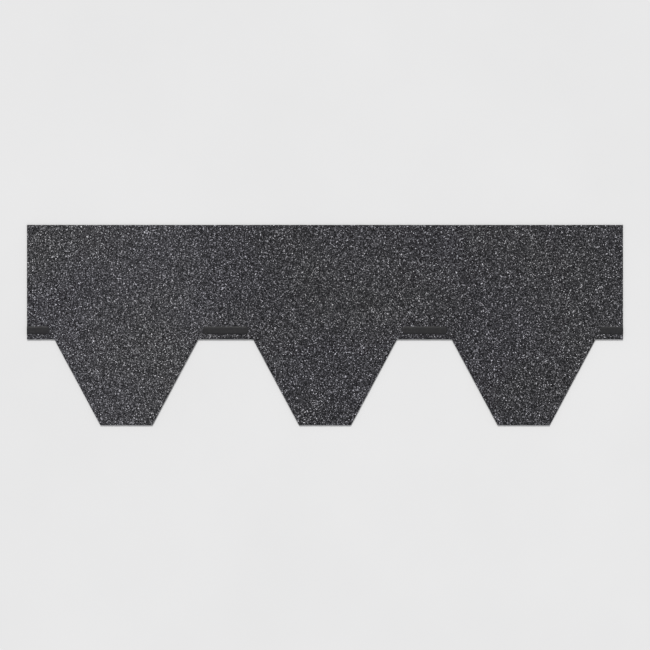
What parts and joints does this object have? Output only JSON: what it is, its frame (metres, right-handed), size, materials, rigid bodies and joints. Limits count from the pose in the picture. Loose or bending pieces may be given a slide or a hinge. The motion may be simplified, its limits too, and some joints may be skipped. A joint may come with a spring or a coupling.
{
  "type": "hexagonal asphalt shingle strip",
  "caption": "Flat granule-coated asphalt roofing strip with tapered tabs that lay up as hexagons, sealant dabs above the cutouts and a release film tape on its back.",
  "frame": {"origin": "centre of the strip's bounding rectangle, on its underside", "axes": "+X along the strip, parallel to the eaves; +Y up the roof, from the tab tips to the top edge; +Z out of the granule face"},
  "size_m": [1, 0.336, 0.0036],
  "materials": {
    "mineral_granules": "matte",
    "sealant_bitumen": "gloss",
    "polyester_film": "gloss"
  },
  "bodies": {
    "root": {"shingle_sheet": "mineral_granules", "sealant_dabs": "sealant_bitumen", "release_film": "polyester_film"}
  },
  "joints": []
}
